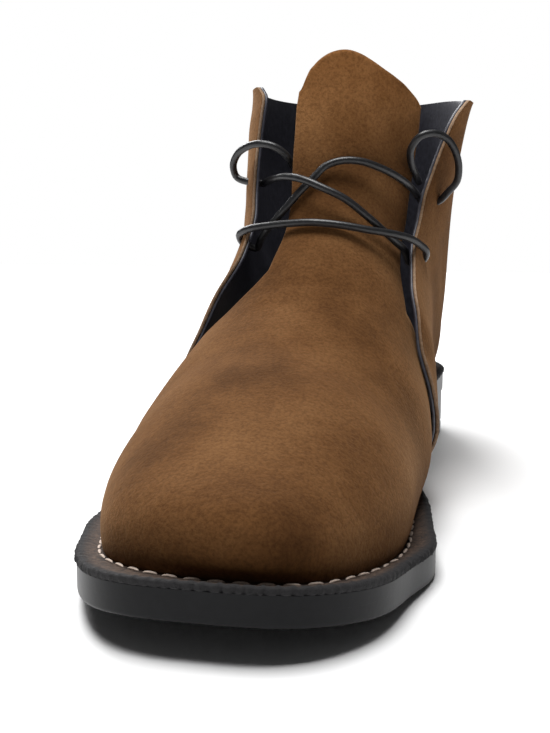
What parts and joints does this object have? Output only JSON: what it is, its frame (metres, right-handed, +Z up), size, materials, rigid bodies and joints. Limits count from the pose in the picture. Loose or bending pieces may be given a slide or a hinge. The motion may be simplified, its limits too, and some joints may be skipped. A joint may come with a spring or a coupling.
{
  "type": "chukka boot",
  "caption": "Ankle-high suede lace-up chukka boot with open quarters, plain vamp and tongue, punched lace holes, a stitched welt and a low heel.",
  "frame": {"origin": "on the floor, under the middle of the heel's tread", "axes": "+Z up, the toe points along -Y, the little-toe side is -X and the big-toe side is +X"},
  "size_m": [0.1095, 0.3002, 0.1643],
  "materials": {
    "suede": "matt brushed suede",
    "rubber": "satin black",
    "welt": "rough dark edge",
    "insole": "smooth lining leather",
    "lace": "waxed round cord"
  },
  "bodies": {
    "root": {"upper": "suede", "tongue": "suede", "insole": "insole", "welt": "welt", "midsole": "rubber", "outsole": "rubber", "heel": "rubber", "lace_crossings": "lace", "lace_loop_medial": "lace", "lace_loop_lateral": "lace"}
  },
  "joints": []
}
